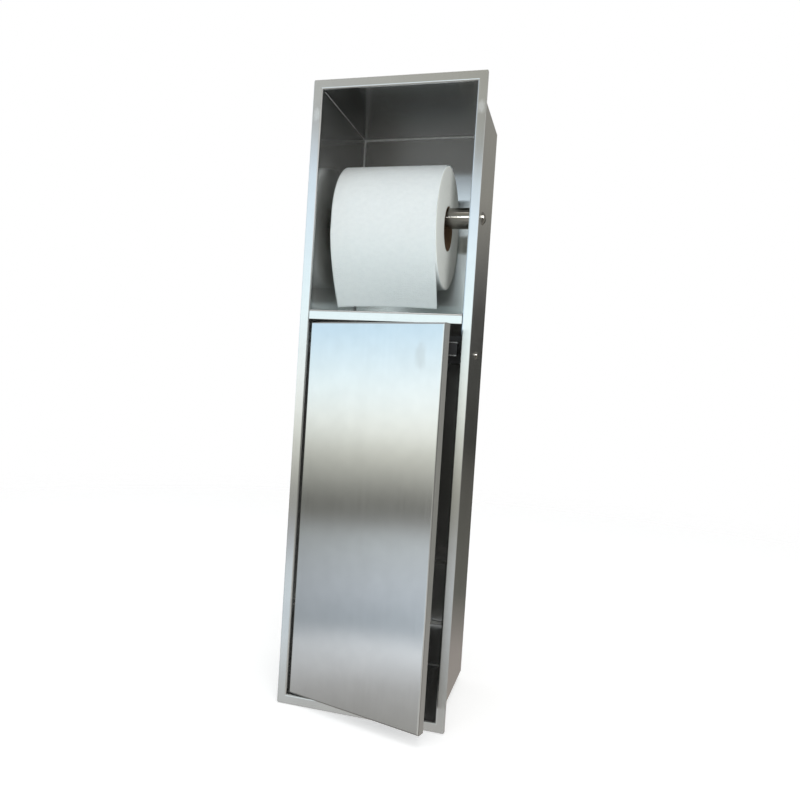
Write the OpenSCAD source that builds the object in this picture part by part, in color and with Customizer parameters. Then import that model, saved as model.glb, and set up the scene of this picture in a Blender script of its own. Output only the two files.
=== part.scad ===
// Recessed toilet roll niche of folded brushed sheet: an open niche with a roll on a
// sprung spindle, above a compartment for spare rolls behind a flush push-to-open door.
// The y axis runs into the wall and z is up. The origin is the centre of the back
// panel's outer face, which is the middle of its four fixing holes.
// Pieces are drawn with y = 0 at the front face of the frame, and set_in() moves them.

/* [Frame and box] */
// Overall width of the front frame
frame_w = 160; // [135:1:220]
// Overall height of the front frame
frame_h = 580; // [480:1:760]
// Depth from the front of the frame to the outer face of the back
niche_depth = 136; // [113:1:180]
// Width of the frame's face, all round
frame_face_w = 9; // [6:0.5:20]
// Radius of the frame's outer corners
frame_corner_r = 2; // [1:0.5:6]
// Thickness of the sheet that the box, the shelf and the door are folded from
sheet_t = 1.2; // [0.8:0.1:2]
// Inside radius of every bend in the sheet
bend_r = 0.5; // [0.3:0.1:1.5]
// Radius that the front of each cut edge of the frame and the shelf is rounded to
cut_edge_r = 0.5; // [0.2:0.1:0.6]
// Diameter of the fixing holes in the back
fixing_hole_d = 5.5; // [4:0.1:8]
// Distance between the fixing holes across the back
fixing_spacing_x = 40; // [30:1:80]
// Distance between the fixing holes up the back
fixing_spacing_z = 300; // [240:5:320]

/* [Shelf] */
// Clear height of the open niche above the shelf
niche_open_h = 201; // [165:1:245]
// Height of the shelf's folded front lip
shelf_lip_h = 9; // [6:0.5:16]
// Height of the weld tabs folded down at the shelf's sides
shelf_tab_h = 10; // [6:0.5:16]
// Distance from the front of the frame to the weld tabs
shelf_tab_setback = 16; // [12:1:30]

/* [Paper roll] */
// Outer diameter of the roll
roll_d = 118; // [95:1:130]
// Width of the roll
roll_w = 100; // [80:1:105]
// Inner diameter of the cardboard core
core_id = 41; // [34:0.5:50]
// Thickness of the cardboard core
core_wall = 0.8; // [0.5:0.1:1.5]
// Gap between the roll and the left wall of the niche
roll_left_gap = 10.5; // [8:0.5:14]
// Gap between the roll and the back of the niche
roll_back_gap = 2.8; // [2:0.1:12]
// Thickness of the loose sheet that hangs from the roll
tail_t = 0.5; // [0.3:0.1:0.8]
// Gap between the loose sheet's lower edge and the shelf
tail_shelf_gap = 5.5; // [3:0.5:30]
// Distance that the loose sheet's left lower corner is drawn in
tail_left_in = 12.5; // [0:0.5:14]
// Distance that the loose sheet's right lower corner swings out
tail_right_out = 6.5; // [0:0.5:8]
// Angle that the loose sheet wraps back over the roll from its front
tail_wrap = 60; // [20:5:80]

/* [Spindle] */
// Outer diameter of the spindle's fixed tube
spindle_d = 20; // [16:0.5:24]
// Wall of both spindle tubes
spindle_wall = 0.8; // [0.6:0.1:1.2]
// Length of the fixed tube, from its end cap to its open end
spindle_tube_l = 74; // [66:1:78]
// Travel of the sliding tube when the spindle is pressed together
spindle_travel = 8; // [5:0.5:10]
// Room left between the sliding tube and the fixed cap when it is pressed together
slider_room = 24; // [10:1:30]
// Thickness of the rim of each end cap
cap_rim_t = 2; // [1.5:0.1:3]
// Depth that each end cap plugs into its tube
cap_plug_l = 8; // [5:0.5:12]
// Diameter of the nose that sits in the wall socket
nose_d = 8; // [6:0.5:10]
// Length of that nose
nose_l = 3.4; // [2.5:0.1:4]
// Diameter of the wall socket
socket_d = 18; // [15:0.5:20]
// Length of the wall socket
socket_l = 7; // [6.5:0.5:9]
// Depth of the blind bore in the wall socket
socket_bore_l = 3.7; // [3.7:0.1:4]
// Head diameter of the domed screws that hold the wall sockets
socket_screw_head_d = 13; // [10:0.5:14]
// Head height of those screws
socket_screw_head_h = 3.5; // [2.5:0.1:4.5]
// Shank diameter of those screws
socket_screw_d = 6; // [4:0.5:8]
// Wire diameter of the spindle's spring
spindle_wire_d = 1.2; // [0.8:0.1:1.5]
// Turns of the spindle's spring
spindle_turns = 16; // [10:1:20]

/* [Door] */
// Angle that the door stands ajar
door_ajar = 15.5; // [0:0.5:60]
// Gap between the door and the frame on the hinge side
door_gap_hinge = 2.7; // [2.5:0.1:4]
// Gap between the door and the frame on the latch side
door_gap_latch = 1.2; // [1:0.1:3]
// Gap between the door and the shelf's lip
door_gap_top = 2.2; // [1:0.1:4]
// Gap between the door and the frame at the bottom
door_gap_bottom = 1.2; // [1:0.1:4]
// Depth of the door's folded edges
door_edge_d = 9; // [8:0.5:10]
// Distance from the door's edge and from its face to the hinge pins
hinge_inset = 5; // [5:0.1:7]
// Distance from each end of the door to the middle of its hinge
hinge_end_dist = 17.5; // [14:0.5:40]
// Diameter of the hinge pins
hinge_pin_d = 3; // [2.5:0.1:3.5]
// Thickness of the hinge arms
hinge_arm_t = 4; // [3:0.5:6]
// Width of the hinge arms
hinge_arm_w = 4.3; // [4:0.1:4.6]
// Thickness of the door's hinge bracket
bracket_t = 2; // [1.5:0.1:3]
// Height of the foot of each hinge arm on the side wall
hinge_foot_h = 18; // [10:1:26]
// Depth of the foot of each hinge arm on the side wall
hinge_foot_l = 18; // [10:1:30]

/* [Latch] */
// Width of the latch body, out from the side wall
latch_w = 14; // [12:0.5:18]
// Height of the latch body
latch_h = 24; // [23:0.5:28]
// Length of the latch body
latch_l = 80; // [72:1:85]
// Distance from the shelf's top to the middle of the latch body
latch_drop = 30.5; // [30:0.5:60]
// Gap left in front of the latch body when the door is pressed
latch_front_gap = 2.5; // [1.5:0.5:7.5]
// Diameter of the latch plunger
plunger_d = 8; // [6:0.5:8]
// Length of the plunger with its head
plunger_l = 45; // [33:1:47]
// Length of the plunger's head
plunger_head_l = 6; // [5:0.5:6]
// Width of the plunger's head
plunger_head_w = 7; // [6:0.5:7]
// Travel of the plunger when the door is pressed
plunger_travel = 2.5; // [1:0.5:3]
// Depth of the magnet block at the front of the head
magnet_t = 3; // [2:0.5:4]
// Height of the magnet block
magnet_h = 10.4; // [8:0.2:12]
// Thickness of the pole plates above and below the magnet
pole_t = 1; // [0.8:0.1:1.5]
// Distance that the pole plates stand out in front of the magnet
pole_proud = 0.5; // [0.3:0.1:0.8]
// Thickness of the strike plate on the door
strike_t = 1.5; // [1:0.1:2]
// Width of the strike plate
strike_w = 11; // [8:0.5:11]
// Height of the strike plate
strike_h = 30; // [16:1:40]
// Diameter of the latch screws
latch_screw_d = 3; // [2.5:0.5:4]
// Head diameter of the latch screws
latch_screw_head_d = 8; // [6:0.5:9]
// Head height of the latch screws
latch_screw_head_h = 2.4; // [1.5:0.1:3]
// Distance from the middle of the latch body up to its front screw
latch_screw_rise = 8; // [7:0.5:8.5]
// Distance from each end of the latch body to its screws
latch_screw_end_dist = 6; // [5:0.5:12]
// Wire diameter of the latch spring
latch_wire_d = 0.7; // [0.5:0.1:0.9]
// Turns of the latch spring
latch_turns = 7; // [5:1:10]
// Length of the latch spring
latch_spring_l = 18; // [14:1:22]

/* [Spare rolls] */
// Diameter of the rod that keeps the spare rolls in
keeper_d = 4; // [3:0.5:6]
// Height of that rod above the floor of the box
keeper_h = 84; // [50:1:110]

/* [Fits] */
// Radial clearance of sliding and turning fits
running_clear = 0.05; // [0.03:0.01:0.1]
// Radial clearance of a screw in the sheet
screw_clear = 0.2; // [0.1:0.1:0.5]
// Gap between moving pieces that pass or rest against each other
rest_gap = 0.3; // [0.2:0.1:0.5]

/* [Hidden] */
$fn = 64;

steel = [0.74, 0.74, 0.73];
dark_steel = [0.55, 0.55, 0.56];
black_plastic = [0.08, 0.08, 0.08];
magnet_grey = [0.2, 0.2, 0.21];
paper_white = [0.93, 0.95, 0.95];
card_brown = [0.55, 0.42, 0.29];

// A cut runs past the faces that it opens by this much
over = 1;

// Clear opening of the box, and the depth at which its back panel starts
inner_w = frame_w - 2 * frame_face_w;
inner_h = frame_h - 2 * frame_face_w;
wall_d = niche_depth - sheet_t;
wall_x = inner_w / 2;
floor_z = -inner_h / 2;
shelf_z = inner_h / 2 - niche_open_h;

// Outside radius of a bend
bend_out_r = bend_r + sheet_t;

// The roll hangs from the spindle, so its axis lies below the spindle's
roll_axis_y = wall_d - roll_back_gap - roll_d / 2;
spindle_z = shelf_z + niche_open_h / 2;
roll_axis_z = spindle_z - (core_id - spindle_d) / 2 + rest_gap;
roll_left_x = -wall_x + roll_left_gap;
core_od = core_id + 2 * core_wall;

// Stations along the spindle, from the middle of the niche outwards
socket_face_x = wall_x - socket_l;
cap_face_x = socket_face_x - rest_gap;
tube_end_x = cap_face_x - cap_rim_t;
spring_end_x = tube_end_x - cap_plug_l;
tube_open_x = tube_end_x - spindle_tube_l;
slider_open_x = spring_end_x - slider_room - spindle_travel;
tube_in_r = spindle_d / 2 - spindle_wall;
slider_r = tube_in_r - running_clear;
slider_in_r = slider_r - spindle_wall;
nose_tip_r = 1;
spindle_spring_r = slider_in_r - spindle_wire_d / 2 - rest_gap;

// The closed door's corners, and the axis of its hinge pins
door_left_x = -wall_x + door_gap_hinge;
door_right_x = wall_x - door_gap_latch;
door_w = door_right_x - door_left_x;
door_top_z = shelf_z - shelf_lip_h - door_gap_top;
door_bottom_z = floor_z + door_gap_bottom;
door_h = door_top_z - door_bottom_z;
pin_x = door_left_x + hinge_inset;
pin_y = hinge_inset;
hinge_zs = [door_bottom_z + hinge_end_dist, door_top_z - hinge_end_dist];

// The door's folded edge passes the hinge arm through a notch of this half height
notch_half_h = hinge_arm_t / 2 + 1;
// Radius that the door's edge sweeps round the pins, with room to spare
sweep_r = sqrt(2) * hinge_inset + 0.9;
ear_r = 3;
foot_t = 1.5;

// The latch lies along the right wall, just below the shelf
latch_z = shelf_z - latch_drop;
latch_x = wall_x - latch_w / 2;
strike_back_y = sheet_t + strike_t;
strike_right_x = door_right_x - bend_out_r - rest_gap;

// The plunger's head clears the door's folded edge on its right
plunger_x = strike_right_x - plunger_head_w / 2;
pole_front_y = strike_back_y + rest_gap;
magnet_front_y = pole_front_y + pole_proud;
magnet_back_y = magnet_front_y + magnet_t;
head_back_y = pole_front_y + plunger_head_l;
plunger_back_y = pole_front_y + plunger_l;

// The pressed door brings its folded edge and the plunger's head this near the body
latch_front_y = max(head_back_y, door_edge_d) + plunger_travel + latch_front_gap;
latch_spring_r = plunger_d / 2 - latch_wire_d / 2 - rest_gap;
latch_bore_end_y = plunger_back_y + latch_spring_l;
latch_screw_l = latch_w / 2;
latch_edge_r = 2;

// The front screw passes above the plunger's bore, and the rear one behind it
latch_screw_places = [
    [latch_front_y + latch_screw_end_dist, latch_z + latch_screw_rise],
    [latch_front_y + latch_l - latch_screw_end_dist, latch_z]
];

// The rod lies just behind the sweep of the door's hinge edge
keeper_y = pin_y + sweep_r + keeper_d / 2;
keeper_z = floor_z + keeper_h;

// A coil turns through this many rings, each with this many sides
coil_rings = 8;
coil_sides = 6;

// Moves a piece from the frame's front face to the origin at the back
module set_in() {
    translate([0, -niche_depth, 0])
        children();
}

// Turns a piece of the door from closed to ajar about the hinge pins
module ajar() {
    translate([pin_x, pin_y, 0])
        rotate([0, 0, -door_ajar])
            translate([-pin_x, -pin_y, 0])
                children();
}

// Cylinder along +x from x0 to x1
module rod_x(x0, x1, r) {
    translate([x0, 0, 0])
        rotate([0, 90, 0])
            cylinder(r = r, h = x1 - x0);
}

// Cylinder along +y from y0 to y1
module rod_y(y0, y1, r) {
    translate([0, y0, 0])
        rotate([-90, 0, 0])
            cylinder(r = r, h = y1 - y0);
}

// Section of a sheet whose front edge is folded outwards through one bend.
// Its wall stands on the y axis, and its folded edge lies on the x axis and ends in a
// rounded front corner.
module folded_section(face_w, depth) {
    translate([bend_out_r, cut_edge_r])
        square([face_w - bend_out_r, sheet_t - cut_edge_r]);
    translate([bend_out_r, 0])
        square([face_w - bend_out_r - cut_edge_r, cut_edge_r]);
    intersection() {
        translate([face_w - cut_edge_r, cut_edge_r])
            circle(r = cut_edge_r);
        translate([face_w - cut_edge_r, 0])
            square(cut_edge_r);
    }
    translate([0, bend_out_r])
        square([sheet_t, depth - bend_out_r]);
    intersection() {
        translate([bend_out_r, bend_out_r])
            difference() {
                circle(r = bend_out_r);
                circle(r = bend_r);
            }
        square(bend_out_r);
    }
}

// Prism between the two mitre planes at the ends of one side of the frame, for a side
// whose inner edge lies at inner and is half_l long each way from the middle
module mitre_prism(inner, half_l) {
    translate([0, niche_depth, 0])
        rotate([90, 0, 0])
            linear_extrude(niche_depth + over)
                polygon([
                    [inner - over, -half_l + over], [inner - over, half_l - over],
                    [inner + frame_face_w + over, half_l + frame_face_w + over],
                    [inner + frame_face_w + over, -half_l - frame_face_w - over]
                ]);
}

// Prism with the outline of the whole frame, whose four corners are rounded
module frame_outline() {
    straight_x = frame_w - 2 * frame_corner_r;
    straight_z = frame_h - 2 * frame_corner_r;
    rotate([90, 0, 0])
        translate([0, 0, -niche_depth])
            linear_extrude(niche_depth + over) {
                square([frame_w, straight_z], center = true);
                square([straight_x, frame_h], center = true);
                for (x = [-1, 1], z = [-1, 1])
                    translate([x * straight_x / 2, z * straight_z / 2])
                        circle(r = frame_corner_r);
            }
}

// A side wall with its part of the frame, mitred at both ends, for the +x side
module side_sheet() {
    intersection() {
        translate([wall_x, 0, -frame_h / 2])
            linear_extrude(frame_h)
                folded_section(frame_face_w, wall_d);
        mitre_prism(wall_x, inner_h / 2);
        frame_outline();
    }
}

// An end wall with its part of the frame, mitred at both ends, for the +z side
module end_sheet() {
    intersection() {
        rotate([0, -90, 0])
            intersection() {
                translate([inner_h / 2, 0, -frame_w / 2])
                    linear_extrude(frame_w)
                        folded_section(frame_face_w, wall_d);
                mitre_prism(inner_h / 2, inner_w / 2);
            }
        frame_outline();
    }
}

// Holes for the spindle's socket screw, through the +x wall
module socket_screw_hole() {
    translate([0, roll_axis_y, spindle_z])
        rod_x(wall_x - over, wall_x + sheet_t + over, socket_screw_d / 2 + screw_clear);
}

module left_wall() {
    color(steel)
        set_in()
            mirror([1, 0, 0])
                difference() {
                    side_sheet();
                    socket_screw_hole();
                }
}

module right_wall() {
    color(steel)
        set_in()
            difference() {
                side_sheet();
                socket_screw_hole();
                for (place = latch_screw_places)
                    translate([0, place.x, place.y])
                        rod_x(wall_x - over, wall_x + sheet_t + over,
                              latch_screw_d / 2 + screw_clear);
            }
}

module top_wall() {
    color(steel)
        set_in()
            end_sheet();
}

module bottom_wall() {
    color(steel)
        set_in()
            mirror([0, 0, 1])
                end_sheet();
}

// Flat back, welded on the rear edges of the four walls
module back_panel() {
    color(steel)
        set_in()
            difference() {
                translate([-wall_x - sheet_t, wall_d, floor_z - sheet_t])
                    cube([inner_w + 2 * sheet_t, sheet_t, inner_h + 2 * sheet_t]);
                for (x = [-1, 1], z = [-1, 1])
                    translate([x * fixing_spacing_x / 2, 0, z * fixing_spacing_z / 2])
                        rod_y(wall_d - over, niche_depth + over, fixing_hole_d / 2);
            }
}

// Shelf between niche and compartment: its front edge is folded down into a lip, and
// its sides are folded down into weld tabs
module divider_shelf() {
    color(steel)
        set_in() {
            translate([wall_x, 0, shelf_z])
                rotate([0, 90, 0])
                    mirror([0, 0, 1])
                        linear_extrude(inner_w)
                            folded_section(shelf_lip_h, wall_d);
            for (side = [0, 1])
                mirror([side, 0, 0])
                    translate([wall_x - sheet_t, shelf_tab_setback, shelf_z - shelf_tab_h])
                        cube([sheet_t, wall_d - shelf_tab_setback, shelf_tab_h - sheet_t]);
        }
}

// Rod across the front of the compartment that keeps the stacked rolls in
module keeper_rod() {
    color(steel)
        set_in()
            translate([0, keeper_y, keeper_z])
                rod_x(-wall_x, wall_x, keeper_d / 2);
}

// Wall socket on the +x side: a bush with a blind bore for the spindle's nose
module socket() {
    translate([0, roll_axis_y, spindle_z])
        difference() {
            rotate([0, 90, 0])
                rotate_extrude()
                    polygon([
                        [0, socket_face_x], [socket_d / 2 - over, socket_face_x],
                        [socket_d / 2, socket_face_x + over],
                        [socket_d / 2, wall_x], [0, wall_x]
                    ]);
            rod_x(socket_face_x - over, socket_face_x + socket_bore_l,
                  nose_d / 2 + running_clear);
            rod_x(socket_face_x + socket_bore_l + bend_r, wall_x + over,
                  socket_screw_d / 2);
        }
}

module socket_left() {
    color(dark_steel)
        set_in()
            mirror([1, 0, 0])
                socket();
}

module socket_right() {
    color(dark_steel)
        set_in()
            socket();
}

// Domed head along +x, with its flat side on x = 0
module domed_head(d, h) {
    dome_r = (d * d / 4 + h * h) / (2 * h);
    rotate([0, 90, 0])
        rotate_extrude()
            intersection() {
                translate([0, h - dome_r])
                    circle(r = dome_r);
                square([d, h]);
            }
}

// Domed screws that hold the two wall sockets from outside the box
module socket_screws() {
    color(dark_steel)
        set_in()
            for (side = [0, 1])
                mirror([side, 0, 0])
                    translate([0, roll_axis_y, spindle_z]) {
                        translate([wall_x + sheet_t, 0, 0])
                            domed_head(socket_screw_head_d, socket_screw_head_h);
                        rod_x(socket_face_x + socket_bore_l + bend_r, wall_x + sheet_t,
                              socket_screw_d / 2);
                    }
}

// Round tube about the spindle's axis, from x0 to x1
module spindle_sleeve(x0, x1, r_out, r_in) {
    translate([0, roll_axis_y, spindle_z])
        difference() {
            rod_x(x0, x1, r_out);
            rod_x(x0 - over, x1 + over, r_in);
        }
}

module spindle_tube() {
    color(steel)
        set_in()
            spindle_sleeve(tube_open_x, tube_end_x, spindle_d / 2, tube_in_r);
}

module spindle_slider() {
    color(steel)
        set_in()
            spindle_sleeve(-tube_end_x, slider_open_x, slider_r, slider_in_r);
}

// End cap on the +x side: a plug for the tube, a rim and a domed nose for the socket
module end_cap(plug_r) {
    rim_r = spindle_d / 2;
    nose_r = nose_d / 2;
    tip_x = cap_face_x + nose_l;
    translate([0, roll_axis_y, spindle_z])
        rotate([0, 90, 0])
            rotate_extrude() {
                polygon([
                    [0, spring_end_x], [plug_r, spring_end_x], [plug_r, tube_end_x],
                    [rim_r, tube_end_x], [rim_r, cap_face_x - bend_r],
                    [rim_r - bend_r, cap_face_x], [nose_r, cap_face_x],
                    [nose_r, tip_x - nose_tip_r], [nose_r - nose_tip_r, tip_x], [0, tip_x]
                ]);
            }
}

module spindle_cap_fixed() {
    color(dark_steel)
        set_in()
            end_cap(tube_in_r);
}

module spindle_cap_sliding() {
    color(dark_steel)
        set_in()
            mirror([1, 0, 0])
                end_cap(slider_in_r);
}

// Point of a coil's ring: turn a along the helix and a place b round the wire
function coil_point(coil_r, wire_r, pitch, a, b) =
    let (r = coil_r + wire_r * cos(b))
    [r * cos(a), r * sin(a), pitch * a / 360 + wire_r * sin(b)];

// Open helical spring along +z from z = 0: one tube swept round the helix
module coil_spring(coil_r, wire_r, turns, length) {
    pitch = (length - 2 * wire_r) / turns;
    rings = turns * coil_rings;
    points = [
        for (i = [0 : rings], j = [0 : coil_sides - 1])
            coil_point(coil_r, wire_r, pitch, i * 360 / coil_rings, j * 360 / coil_sides)
    ];
    walls = [
        for (i = [0 : rings - 1], j = [0 : coil_sides - 1], half = [0, 1])
            let (
                k = (j + 1) % coil_sides,
                a = i * coil_sides + j,
                b = i * coil_sides + k,
                c = a + coil_sides,
                d = b + coil_sides
            )
            half == 0 ? [a, b, d] : [a, d, c]
    ];
    last = rings * coil_sides;
    ends = [
        for (j = [1 : coil_sides - 2], end = [0, 1])
            end == 0 ? [0, j + 1, j] : [last, last + j, last + j + 1]
    ];
    echo("least gap between turns", pitch - 2 * wire_r);
    translate([0, 0, wire_r])
        polyhedron(points = points, faces = concat(walls, ends), convexity = 10);
}

// Compression spring between the two end caps, inside both tubes
module spindle_spring() {
    color(dark_steel)
        set_in()
            translate([-spring_end_x, roll_axis_y, spindle_z])
                rotate([0, 90, 0])
                    coil_spring(spindle_spring_r, spindle_wire_d / 2, spindle_turns,
                                2 * spring_end_x);
}

// Paper wound on the core
module paper_roll() {
    color(paper_white)
        set_in()
            translate([0, roll_axis_y, roll_axis_z])
                difference() {
                    rod_x(roll_left_x, roll_left_x + roll_w, roll_d / 2);
                    rod_x(roll_left_x - over, roll_left_x + roll_w + over, core_od / 2);
                }
}

module cardboard_core() {
    color(card_brown)
        set_in()
            translate([0, roll_axis_y, roll_axis_z])
                difference() {
                    rod_x(roll_left_x, roll_left_x + roll_w, core_od / 2);
                    rod_x(roll_left_x - over, roll_left_x + roll_w + over, core_id / 2);
                }
}

// Loose sheet: it lies over the front of the roll and hangs from there
module paper_tail() {
    lie_r = roll_d / 2 + rest_gap;
    hang = roll_axis_z - shelf_z - tail_shelf_gap;
    right_x = roll_left_x + roll_w;
    color(paper_white)
        set_in()
            translate([0, roll_axis_y, roll_axis_z])
                intersection() {
                    translate([roll_left_x, 0, 0])
                        rotate([90, 0, 90])
                            linear_extrude(roll_w + tail_right_out)
                                tail_section(lie_r, hang);
                    rotate([90, 0, 0])
                        linear_extrude(roll_d)
                            polygon([
                                [roll_left_x, 0], [roll_left_x + tail_left_in, -hang],
                                [right_x + tail_right_out, -hang], [right_x, 0],
                                [right_x, roll_d], [roll_left_x, roll_d]
                            ]);
                }
}

// Section of the loose sheet about the roll's axis: the arc that lies over the front of
// the roll, and the straight part that hangs below it
module tail_section(lie_r, hang) {
    difference() {
        intersection() {
            circle(r = lie_r + tail_t);
            polygon([[0, 0], [-2 * roll_d, 2 * roll_d * tan(tail_wrap)], [-2 * roll_d, 0]]);
        }
        circle(r = lie_r);
    }
    translate([-lie_r - tail_t, -hang])
        square([tail_t, hang]);
}

// Section through a folded tray with its front corners rounded
module tray_section(w, d, r) {
    translate([0, r])
        square([w, d - r]);
    translate([r, 0])
        square([w - 2 * r, r]);
    translate([r, r])
        circle(r = r);
    translate([w - r, r])
        circle(r = r);
}

// Solid block with its four front edges rounded, where the tray's sides meet in mitres
module tray_block(w, h, d, r) {
    intersection() {
        linear_extrude(h)
            tray_section(w, d, r);
        translate([w, 0, 0])
            rotate([0, -90, 0])
                linear_extrude(w)
                    tray_section(h, d, r);
    }
}

// Door pan: a flat face with all four edges folded back, notched for the hinge arms
module door_panel() {
    color(steel)
        set_in()
            ajar()
                difference() {
                    translate([door_left_x, 0, door_bottom_z])
                        tray_block(door_w, door_h, door_edge_d, bend_out_r);
                    translate([door_left_x + sheet_t, sheet_t, door_bottom_z + sheet_t])
                        tray_block(door_w - 2 * sheet_t, door_h - 2 * sheet_t,
                                   door_edge_d + over, bend_r);
                    for (z = hinge_zs)
                        translate([door_left_x - over, sheet_t, z - notch_half_h])
                            cube([over + bend_out_r + bend_r, door_edge_d,
                                  2 * notch_half_h]);
                }
}

// Bracket inside the door, drawn closed: two ears that hold a pin above and below the
// hinge arm, joined by a web on the side away from the hinge edge
module hinge_bracket() {
    ear_z = hinge_arm_t / 2 + rest_gap;
    back_y = pin_y;
    web_x = pin_x + ear_r - bend_r;
    difference() {
        union() {
            for (side = [0, 1])
                mirror([0, 0, side])
                    translate([0, 0, ear_z]) {
                        translate([pin_x - ear_r, sheet_t, 0])
                            cube([2 * ear_r - bend_r, back_y - sheet_t, bracket_t]);
                        translate([pin_x, pin_y, 0])
                            cylinder(r = ear_r, h = bracket_t);
                    }
            translate([web_x, sheet_t, -ear_z - bracket_t])
                cube([foot_t, back_y + ear_r - sheet_t, 2 * (ear_z + bracket_t)]);
        }
        translate([pin_x, pin_y, -ear_z - bracket_t - over])
            cylinder(d = hinge_pin_d, h = 2 * (ear_z + bracket_t + over));
    }
}

module door_hinge_brackets() {
    color(dark_steel)
        set_in()
            ajar()
                for (z = hinge_zs)
                    translate([0, 0, z])
                        hinge_bracket();
}

// Arms welded to the left wall: each reaches behind the door's edge and then forward,
// through the notch in that edge, to the pin
module hinge_arms() {
    arm_left = pin_x - hinge_arm_w / 2;
    turn_y = pin_y + sweep_r;
    color(dark_steel)
        set_in()
            for (z = hinge_zs)
                translate([0, 0, z])
                    difference() {
                        union() {
                            translate([pin_x, pin_y, -hinge_arm_t / 2])
                                cylinder(d = hinge_arm_w, h = hinge_arm_t);
                            translate([arm_left, pin_y, -hinge_arm_t / 2])
                                cube([hinge_arm_w, sweep_r + hinge_arm_w, hinge_arm_t]);
                            translate([-wall_x, turn_y, -hinge_arm_t / 2])
                                cube([arm_left + wall_x, hinge_arm_w, hinge_arm_t]);
                            translate([-wall_x, turn_y, -hinge_foot_h / 2])
                                cube([foot_t, hinge_foot_l, hinge_foot_h]);
                        }
                        translate([pin_x, pin_y, -hinge_arm_t])
                            cylinder(r = hinge_pin_d / 2 + running_clear,
                                     h = 2 * hinge_arm_t);
                    }
}

// Pins held in the door's brackets, each with a small head on top
module hinge_pins() {
    half_l = hinge_arm_t / 2 + rest_gap + bracket_t;
    color(steel)
        set_in()
            ajar()
                for (z = hinge_zs)
                    translate([pin_x, pin_y, z]) {
                        translate([0, 0, -half_l - bend_r])
                            cylinder(d = hinge_pin_d, h = 2 * half_l + bend_r);
                        translate([0, 0, half_l])
                            cylinder(d = hinge_pin_d + 2 * bend_r, h = 1);
                    }
}

// Steel plate on the inside of the door that the latch's pole plates hold
module strike_plate() {
    color(dark_steel)
        set_in()
            ajar()
                translate([strike_right_x - strike_w, sheet_t, latch_z - strike_h / 2])
                    cube([strike_w, strike_t, strike_h]);
}

// Moulded latch body, with a blind bore for the plunger and two screw holes
module latch_housing() {
    color(black_plastic)
        set_in()
            difference() {
                translate([latch_x, latch_front_y, latch_z])
                    rotate([-90, 0, 0])
                        linear_extrude(latch_l) {
                            square([latch_w, latch_h - 2 * latch_edge_r], center = true);
                            translate([latch_edge_r / 2, 0])
                                square([latch_w - latch_edge_r, latch_h], center = true);
                            for (side = [-1, 1])
                                translate([latch_edge_r - latch_w / 2,
                                           side * (latch_h / 2 - latch_edge_r)])
                                    circle(r = latch_edge_r);
                        }
                translate([plunger_x, 0, latch_z])
                    rod_y(latch_front_y - over, latch_bore_end_y,
                          plunger_d / 2 + running_clear);
                for (place = latch_screw_places)
                    translate([0, place.x, place.y])
                        rod_x(wall_x - latch_screw_l, wall_x + over, latch_screw_d / 2);
            }
}

// Round plunger whose square head carries the magnet between two pole plates
module latch_plunger() {
    color(black_plastic)
        set_in()
            translate([plunger_x, 0, latch_z]) {
                rod_y(head_back_y, plunger_back_y, plunger_d / 2);
                head_block(magnet_back_y, head_back_y);
            }
}

// Block of the plunger's head between the pole plates, from y0 to y1
module head_block(y0, y1) {
    translate([-plunger_head_w / 2, y0, -magnet_h / 2])
        cube([plunger_head_w, y1 - y0, magnet_h]);
}

module latch_magnet() {
    color(magnet_grey)
        set_in()
            translate([plunger_x, 0, latch_z])
                head_block(magnet_front_y, magnet_back_y);
}

// Steel plates above and below the magnet, whose front edges meet the strike plate
module latch_poles() {
    color(steel)
        set_in()
            for (side = [0, 1])
                translate([plunger_x, pole_front_y, latch_z])
                    mirror([0, 0, side])
                        translate([-plunger_head_w / 2, 0, magnet_h / 2])
                            cube([plunger_head_w, plunger_head_l, pole_t]);
}

// Compression spring between the plunger and the end of its bore
module latch_spring() {
    color(steel)
        set_in()
            translate([plunger_x, plunger_back_y, latch_z])
                rotate([-90, 0, 0])
                    coil_spring(latch_spring_r, latch_wire_d / 2, latch_turns,
                                latch_spring_l);
}

// Domed screws through the right wall into the latch body
module latch_screws() {
    color(dark_steel)
        set_in()
            for (place = latch_screw_places)
                translate([0, place.x, place.y]) {
                    translate([wall_x + sheet_t, 0, 0])
                        domed_head(latch_screw_head_d, latch_screw_head_h);
                    rod_x(wall_x - latch_screw_l, wall_x + sheet_t, latch_screw_d / 2);
                }
}

left_wall();
right_wall();
top_wall();
bottom_wall();
back_panel();
divider_shelf();
keeper_rod();
socket_left();
socket_right();
socket_screws();
spindle_tube();
spindle_slider();
spindle_spring();
spindle_cap_fixed();
spindle_cap_sliding();
paper_roll();
cardboard_core();
paper_tail();
door_panel();
door_hinge_brackets();
hinge_arms();
hinge_pins();
strike_plate();
latch_housing();
latch_plunger();
latch_magnet();
latch_poles();
latch_spring();
latch_screws();
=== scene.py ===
import logging
import math
from dataclasses import dataclass, field, replace
from enum import Enum
from typing import Any

import bpy
import numpy as np
from mathutils import Matrix, Vector


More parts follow.
